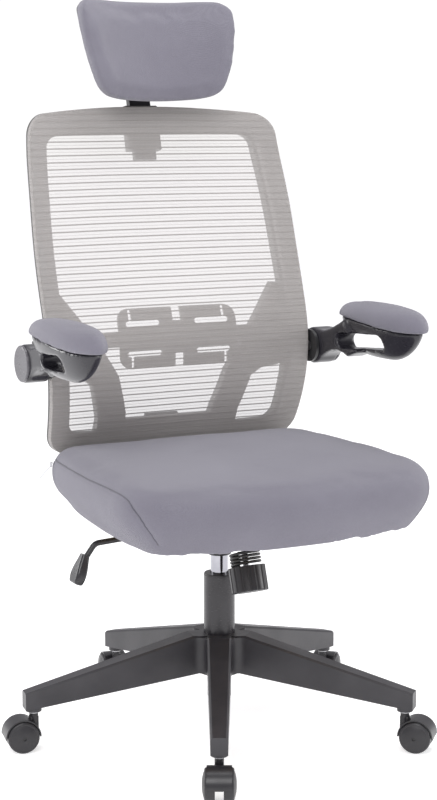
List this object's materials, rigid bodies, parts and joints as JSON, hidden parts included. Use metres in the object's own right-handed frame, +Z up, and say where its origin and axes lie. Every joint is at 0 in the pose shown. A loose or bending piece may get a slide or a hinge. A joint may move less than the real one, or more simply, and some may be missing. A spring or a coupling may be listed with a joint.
{
  "type": "office chair",
  "caption": "Mesh-back swivel task chair with padded seat, headrest, flip-up arms, lumbar support, sprung tilt, gas lift and a star base on twin-wheel casters.",
  "frame": {"origin": "on the floor, under the axis of the gas lift column", "axes": "+Z up, -Y is the way the sitter faces, +X is the sitter's left"},
  "size_m": [0.6703, 0.6744, 1.1668],
  "materials": {
    "mesh_fabric": "open knit mesh",
    "seat_fabric": "woven, padded",
    "headrest_fabric": "open knit mesh over foam",
    "dark_plastic": "fine moulded grain",
    "base_plastic": "satin moulded",
    "wheel_plastic": "smooth rolling band",
    "arm_pad_skin": "soft skinned foam",
    "frame_plastic": "satin moulded",
    "painted_steel": "satin powder coat",
    "bright_steel": "polished",
    "plain_steel": "plain turned",
    "plywood": "plain board"
  },
  "bodies": {
    "base": {"base_star": "base_plastic", "caster_stems": "plain_steel", "caster_grip_rings": "plain_steel", "lift_outer_tube": "base_plastic", "lift_guide_bush": "dark_plastic", "lift_thrust_bearing": "plain_steel"},
    "caster_swivel_1": {"caster_hood_1": "dark_plastic"},
    "caster_wheels_1": {"caster_axle_1": "plain_steel", "caster_wheels_1": "wheel_plastic"},
    "caster_swivel_2": {"caster_hood_2": "dark_plastic"},
    "caster_wheels_2": {"caster_axle_2": "plain_steel", "caster_wheels_2": "wheel_plastic"},
    "caster_swivel_3": {"caster_hood_3": "dark_plastic"},
    "caster_wheels_3": {"caster_axle_3": "plain_steel", "caster_wheels_3": "wheel_plastic"},
    "caster_swivel_4": {"caster_hood_4": "dark_plastic"},
    "caster_wheels_4": {"caster_axle_4": "plain_steel", "caster_wheels_4": "wheel_plastic"},
    "caster_swivel_5": {"caster_hood_5": "dark_plastic"},
    "caster_wheels_5": {"caster_axle_5": "plain_steel", "caster_wheels_5": "wheel_plastic"},
    "lift_rod": {"lift_piston_rod": "plain_steel", "lift_retaining_clip": "plain_steel"},
    "carriage": {"lift_cylinder": "bright_steel", "mech_housing": "painted_steel", "tension_spring": "plain_steel"},
    "release_button": {"gas_release_pin": "plain_steel"},
    "lever_cradle": {"lever_cradle": "dark_plastic"},
    "height_lever": {"height_lever": "painted_steel", "lever_grip": "dark_plastic"},
    "seat": {"tilt_plate": "painted_steel", "tilt_pivot_pin": "plain_steel", "tension_screw": "plain_steel", "seat_board": "plywood", "seat_cushion": "seat_fabric", "seat_bolts": "plain_steel", "zip_slider": "plain_steel", "back_bracket": "painted_steel", "back_frame": "frame_plastic", "back_support": "frame_plastic", "mesh_rim": "frame_plastic", "back_mesh": "mesh_fabric", "frame_screws": "plain_steel", "lumbar_guides": "frame_plastic", "arm_mounts": "painted_steel", "arm_pivot_pins": "plain_steel"},
    "tension_knob": {"tension_knob": "dark_plastic"},
    "lumbar": {"lumbar_plate": "frame_plastic", "lumbar_crossbar": "frame_plastic"},
    "headrest_post": {"headrest_post": "frame_plastic"},
    "headrest": {"headrest_shell": "frame_plastic", "headrest_pad": "headrest_fabric", "headrest_pin": "plain_steel"},
    "arm_left": {"arm_body_left": "dark_plastic", "arm_cap_left": "dark_plastic", "arm_pad_left": "arm_pad_skin"},
    "arm_right": {"arm_body_right": "dark_plastic", "arm_cap_right": "dark_plastic", "arm_pad_right": "arm_pad_skin"}
  },
  "joints": [
    {"name": "caster_swivel_1", "type": "hinge", "parent": "base", "child": "caster_swivel_1", "pos_m": [-0.13847, -0.27176, 0.045], "axis": [0, 0, 1], "continuous": true},
    {"name": "caster_roll_1", "type": "hinge", "parent": "caster_swivel_1", "child": "caster_wheels_1", "pos_m": [-0.14755, -0.28958, 0.025], "axis": [0.891, -0.454, 0], "continuous": true},
    {"name": "caster_swivel_2", "type": "hinge", "parent": "base", "child": "caster_swivel_2", "pos_m": [0.21567, -0.21567, 0.045], "axis": [0, 0, 1], "continuous": true},
    {"name": "caster_roll_2", "type": "hinge", "parent": "caster_swivel_2", "child": "caster_wheels_2", "pos_m": [0.22981, -0.22981, 0.025], "axis": [0.7071, 0.7071, 0], "continuous": true},
    {"name": "caster_swivel_3", "type": "hinge", "parent": "base", "child": "caster_swivel_3", "pos_m": [0.27176, 0.13847, 0.045], "axis": [0, 0, 1], "continuous": true},
    {"name": "caster_roll_3", "type": "hinge", "parent": "caster_swivel_3", "child": "caster_wheels_3", "pos_m": [0.2859, 0.15261, 0.025], "axis": [-0.7071, 0.7071, 0], "continuous": true},
    {"name": "caster_swivel_4", "type": "hinge", "parent": "base", "child": "caster_swivel_4", "pos_m": [-0.04771, 0.30124, 0.045], "axis": [0, 0, 1], "continuous": true},
    {"name": "caster_roll_4", "type": "hinge", "parent": "caster_swivel_4", "child": "caster_wheels_4", "pos_m": [-0.04458, 0.321, 0.025], "axis": [-0.9877, 0.1564, 0], "continuous": true},
    {"name": "caster_swivel_5", "type": "hinge", "parent": "base", "child": "caster_swivel_5", "pos_m": [-0.30124, 0.04771, 0.045], "axis": [0, 0, 1], "continuous": true},
    {"name": "caster_roll_5", "type": "hinge", "parent": "caster_swivel_5", "child": "caster_wheels_5", "pos_m": [-0.321, 0.05084, 0.025], "axis": [-0.1564, -0.9877, 0], "continuous": true},
    {"name": "seat_swivel", "type": "hinge", "parent": "base", "child": "lift_rod", "pos_m": [0, 0, 0.06], "axis": [0, 0, 1], "continuous": true},
    {"name": "height_slide", "type": "slide", "parent": "lift_rod", "child": "carriage", "axis": [0, 0, 1], "range_m": [-0.018, 0.08]},
    {"name": "gas_release_press", "type": "slide", "parent": "carriage", "child": "release_button", "axis": [0, 0, -1], "range_m": [0, 0.003]},
    {"name": "height_lever_lift", "type": "hinge", "parent": "carriage", "child": "lever_cradle", "pos_m": [-0.0345, 0, 0.341], "axis": [0, 1, 0], "range_deg": [0, 4], "stiffness_Nm_per_rad": 2, "springref_deg": -5.73},
    {"name": "tilt_lock_pull", "type": "slide", "parent": "lever_cradle", "child": "height_lever", "axis": [-0.9981, 0, -0.061], "range_m": [0, 0.012]},
    {"name": "seat_tilt", "type": "hinge", "parent": "carriage", "child": "seat", "pos_m": [0, -0.038, 0.338], "axis": [-1, 0, 0], "range_deg": [0, 12], "stiffness_Nm_per_rad": 90, "springref_deg": -20.05, "deforming": ["tension_spring"]},
    {"name": "tension_knob_turn", "type": "hinge", "parent": "seat", "child": "tension_knob", "pos_m": [0, -0.093, 0.29], "axis": [0, 0.3239, 0.9461], "range_deg": [-720, 720]},
    {"name": "lumbar_slide", "type": "slide", "parent": "seat", "child": "lumbar", "axis": [0, 0.1581, 0.9874], "range_m": [-0.015, 0.015]},
    {"name": "headrest_height", "type": "slide", "parent": "seat", "child": "headrest_post", "axis": [0, 0.2588, 0.9659], "range_m": [0, 0.05]},
    {"name": "headrest_tilt", "type": "hinge", "parent": "headrest_post", "child": "headrest", "pos_m": [0, 0.31962, 1.078], "axis": [-1, 0, 0], "range_deg": [-6, 25]},
    {"name": "arm_flip_left", "type": "hinge", "parent": "seat", "child": "arm_left", "pos_m": [0.255, 0.13, 0.597], "axis": [-1, 0, 0], "range_deg": [0, 90]},
    {"name": "arm_flip_right", "type": "hinge", "parent": "seat", "child": "arm_right", "pos_m": [-0.255, 0.13, 0.597], "axis": [-1, 0, 0], "range_deg": [0, 90]}
  ],
  "couplings": [
    {"joint": "gas_release_press", "follows": "height_lever_lift", "m_per_rad": 0.0401}
  ]
}
